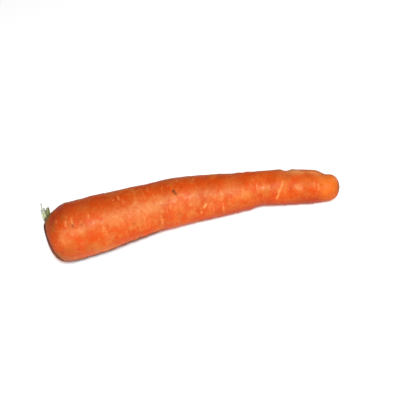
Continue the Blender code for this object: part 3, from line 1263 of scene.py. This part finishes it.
@dataclass(frozen=True)
class Studio:
    """A plain pale floor, soft light from in front and above, and the camera."""

    floor: FloorPaint
    floor_half_width: float = 3.0
    elevation: float = 40.0
    azimuth: float = 4.0
    roll: float = 14.2
    distance: float = 0.593
    slide: tuple[float, float] = (6.0 * MM, 1.4 * MM)  # right and up, in the camera's own directions
    lens: float = 85.0
    clip_start: float = 10 * MM
    key_elevation: float = 49.0
    key_azimuth: float = 10.0
    key_distance: float = 2.5
    key_size: float = 0.75
    key_power: float = 83.0
    sky: float = 0.18

    def direction(self, elevation: float, azimuth: float) -> Vector:
        """Returns the unit vector from the carrot towards a place at an elevation and azimuth in degrees."""
        high, round_it = math.radians(elevation), math.radians(azimuth)
        level = math.cos(high)
        return Vector((math.sin(round_it) * level, -math.cos(round_it) * level, math.sin(high)))

    def build(self, centre: Vector) -> None:
        """Lays the floor and sets the lights and the camera.

        Args:
            centre: the middle of the carrot's box.
        """
        self.lay_floor()
        self.light(centre)
        self.set_camera(centre)
        bpy.context.scene.view_settings.view_transform = "Standard"

    def lay_floor(self) -> None:
        """Lays the floor under the carrot."""
        sheet = bmesh.new()
        bmesh.ops.create_grid(sheet, x_segments=2, y_segments=2, size=self.floor_half_width)
        shown("studio_floor", mesh_of(sheet, "studio_floor"), self.floor.material())

    def light(self, centre: Vector) -> None:
        """Sets the key light and the sky.

        Args:
            centre: what the key light faces.
        """
        towards = self.direction(self.key_elevation, self.key_azimuth)
        lamp = bpy.data.lights.new("key_light", "AREA")
        lamp.shape = "DISK"
        lamp.size = self.key_size
        lamp.energy = self.key_power
        key = bpy.data.objects.new("key_light", lamp)
        key.location = centre + towards * self.key_distance
        key.rotation_euler = towards.to_track_quat("Z", "Y").to_euler()
        bpy.context.scene.collection.objects.link(key)
        sky = bpy.data.worlds.new("studio_sky")
        sky.use_nodes = True
        background = sky.node_tree.nodes["Background"]
        background.inputs["Color"].default_value = (1, 1, 1, 1)
        background.inputs["Strength"].default_value = self.sky
        bpy.context.scene.world = sky

    def set_camera(self, centre: Vector) -> None:
        """Sets the camera, turned about its own axis.

        Args:
            centre: the middle of the carrot's box, which the camera aims beside by its slide.
        """
        back = self.direction(self.elevation, self.azimuth)
        right = Vector((0, 0, 1)).cross(back).normalized()
        up = back.cross(right)
        roll = math.radians(self.roll)
        right, up = (
            right * math.cos(roll) - up * math.sin(roll),
            right * math.sin(roll) + up * math.cos(roll),
        )
        aim = centre + right * self.slide[0] + up * self.slide[1]
        camera = bpy.data.objects.new("camera", bpy.data.cameras.new("camera"))
        camera.data.lens = self.lens
        camera.data.clip_start = self.clip_start
        turn = Matrix((right, up, back)).transposed().to_4x4()
        camera.matrix_world = Matrix.Translation(aim + back * self.distance) @ turn
        bpy.context.scene.collection.objects.link(camera)
        bpy.context.scene.camera = camera


# The marks that have a set place, by kind: the share of the length, the degrees round the root, how many
# millimetres they reach around and along it either way, the strength, and the tilt in degrees if any
MARKS: dict[MarkKind, tuple[tuple[float, ...], ...]] = {
    MarkKind.RED: (
        # The first row darkens the whole crown end. The next seven, along the top and the lower edge, are
        # painted shade; the rest are reddish patches
        (0.000, 10, 24.0, 13.0, 0.75),
        (0.120, 2, 9.0, 20.0, 0.36),
        (0.045, 24, 9.0, 11.0, 0.75),
        (0.045, -114, 6.0, 7.0, 0.34),
        (0.420, 2, 6.0, 40.0, 0.20),
        (0.560, -134, 5.0, 30.0, 0.60),
        (0.830, -130, 5.0, 24.0, 0.80),
        (0.905, -112, 6.0, 10.0, 0.65),
        (0.034, -14, 3.6, 2.8, 0.75),
        (0.074, 2, 4.0, 2.8, 0.60),
        (0.055, -90, 1.8, 1.4, 0.35),
        (0.140, -100, 2.6, 2.4, 0.15),
        (0.066, -84, 3.2, 4.5, 0.22),
        (0.231, -110, 0.8, 0.7, 0.45),
        (0.248, -119, 0.8, 0.7, 0.45),
        (0.445, -80, 2.0, 2.2, 0.14),
        (0.500, -98, 2.0, 2.2, 0.16),
        (0.900, -68, 1.5, 2.0, 0.20),
        (0.841, -10, 1.2, 1.6, 0.25),
        (0.978, -84, 1.8, 1.8, 0.15),
    ),
    MarkKind.OLIVE: (
        # The first row, with the red row at the same place, is painted shade on the crown's lower side; the
        # rest are olive tinges
        (0.045, -114, 6.0, 7.0, 0.42),
        (0.000, -20, 40.0, 4.0, 0.25),
        (0.020, 14, 3.6, 1.4, 0.65),
        (0.014, -10, 3.4, 1.8, 0.45),
        (0.034, -34, 3.0, 1.6, 0.35),
        (0.040, -102, 3.0, 1.6, 0.75),
        (0.126, -91, 2.4, 1.8, 0.22),
        (0.072, -18, 1.4, 1.6, 0.50),
        (0.903, -5, 1.0, 2.0, 0.30),
        (0.795, -8, 1.0, 1.8, 0.30),
        (0.801, 28, 1.6, 2.4, 0.65),
        (0.952, 26, 1.8, 2.0, 0.40),
    ),
    # The first row darkens the crown beside the tuft; the rest are painted shade, dark lines along the lower
    # edge and at the tip's end
    MarkKind.PAINTED_SHADE: (
        (0.030, 34, 3.0, 6.0, 0.35),
        (0.085, -148, 5.6, 11.0, 0.95),
        (0.165, -143, 5.6, 10.0, 0.95),
        (0.250, -138, 5.6, 12.0, 0.95),
        (0.340, -139, 5.2, 10.0, 0.80),
        (1.000, -46, 8.0, 0.8, 0.45),
    ),
    MarkKind.CALM: (
        (0.050, -98, 7.0, 8.0, 1.00),
    ),
    # Painted sheen: pale patches of painted highlight along the lit band and on top near the tip, and a pale
    # painted reflection of the floor near the lower edge
    MarkKind.BLOOM: (
        (0.295, -53, 7.0, 16.0, 0.55),
        (0.290, -46, 4.0, 20.0, 0.60),
        (0.480, -56, 7.0, 17.0, 0.50),
        (0.460, -46, 4.0, 18.0, 0.45),
        (0.180, -114, 2.4, 22.0, 0.70),
        (0.630, -48, 5.0, 18.0, 0.45),
        (0.880, 12, 3.2, 15.0, 0.90),
        (0.062, -62, 2.8, 3.4, 0.50),
        (0.105, -54, 2.8, 5.5, 0.85),
        (0.115, -79, 2.2, 1.8, 0.45),
        (0.158, -44, 3.2, 3.4, 0.50),
        (0.181, -39, 3.0, 3.0, 0.35),
        (0.200, -80, 2.6, 2.0, 0.40),
        (0.253, -48, 2.8, 5.0, 0.60),
        (0.308, -49, 3.4, 3.2, 0.90),
        (0.347, -47, 2.4, 2.6, 0.50),
        (0.319, -31, 2.0, 2.0, 0.40),
        (0.430, -43, 1.8, 2.4, 0.55),
        (0.468, -44, 2.3, 4.0, 1.00),
        (0.500, -47, 2.0, 3.0, 0.40),
        (0.560, -42, 2.2, 6.0, 0.40),
        (0.588, -74, 3.4, 6.0, 0.40),
        (0.648, -45, 1.9, 4.0, 0.60),
        (0.703, -44, 1.8, 2.0, 0.20),
        (0.746, -45, 1.5, 1.7, 0.60),
        (0.803, -43, 1.9, 2.2, 0.80),
        (0.796, -54, 3.0, 2.6, 0.75),
        (0.872, -50, 2.2, 2.6, 1.00),
        (0.982, 20, 3.4, 3.2, 0.60),
    ),
    MarkKind.SCAR: (
        # The first two rows are painted highlight on the ridge on top near the tip; the rest are pale scars
        (0.850, 15, 2.2, 5.0, 0.36),
        (0.910, 12, 2.2, 5.0, 0.36),
        (0.046, -21, 2.1, 0.6, 0.30, 8),
        (0.084, -21, 1.3, 0.8, 0.24),
        (0.078, -34, 2.4, 0.9, 0.34),
        (0.100, -31, 2.4, 0.55, 0.60),
        (0.155, -30, 2.0, 0.6, 0.40),
        (0.187, -62, 1.4, 0.7, 0.50),
        (0.193, -68, 2.6, 0.5, 0.30),
        (0.262, -8, 2.6, 0.6, 0.50),
        (0.243, -10, 0.8, 0.5, 0.45),
        (0.324, -75, 6.0, 0.5, 0.35, -3),
        (0.382, -85, 3.8, 0.7, 0.50),
        (0.518, 3, 1.8, 0.5, 0.45),
        (0.464, 6, 2.2, 0.5, 0.35),
        (0.531, -86, 2.8, 0.5, 0.55),
        (0.548, -73, 2.4, 0.75, 0.80, -42),
        (0.566, -76, 1.4, 0.5, 0.35),
        (0.607, -43, 1.8, 0.5, 0.40),
        (0.609, -84, 6.6, 0.42, 0.50),
        (0.727, -47, 3.6, 0.35, 0.45),
        (0.717, -17, 1.6, 0.4, 0.30, 30),
        (0.768, -45, 2.6, 1.6, 0.42, 14),
        (0.817, -42, 3.4, 0.62, 0.72, -16),
        (0.808, -62, 1.6, 0.70, 0.60, -18),
        (0.804, -75, 2.4, 0.50, 0.80, -20),
        (0.797, -84, 1.6, 0.45, 0.45, -16),
        (0.923, -42, 3.4, 0.40, 0.38),
        (0.938, -43, 3.0, 0.45, 0.38),
    ),
    MarkKind.SPECK: (
        (0.098, -41, 1.2, 0.5, 0.75),
        (0.128, -43, 0.9, 0.7, 0.25),
        (0.283, -71, 1.0, 0.9, 0.35),
        (0.445, -24, 1.1, 0.9, 1.00),
        (0.450, -31, 1.2, 0.6, 0.90, 15),
        (0.473, -17, 0.8, 0.6, 0.45),
        (0.570, -15, 0.8, 0.5, 0.35),
    ),
}


def main() -> None:
    """Builds the carrot and its studio."""
    logging.basicConfig(level=logging.INFO, format="%(message)s")
    form = RootForm()
    shift = form.shift()
    marks = tuple(Mark(kind, *row) for kind, rows in MARKS.items() for row in rows)
    pieces = (
        Taproot(form, CarrotSkin(), marks=marks).build(),
        LeafTuft(form.crown(), LeafStalk()).build(shift),
        Rootlets(form, RootletSkin()).build(shift),
    )
    for piece in pieces:
        log.info("%s: %d faces", piece.name, len(piece.data.polygons))
    low, high = cad_box
    Studio(FloorPaint()).build((low + high) / 2)


if __name__ == "__main__":
    main()
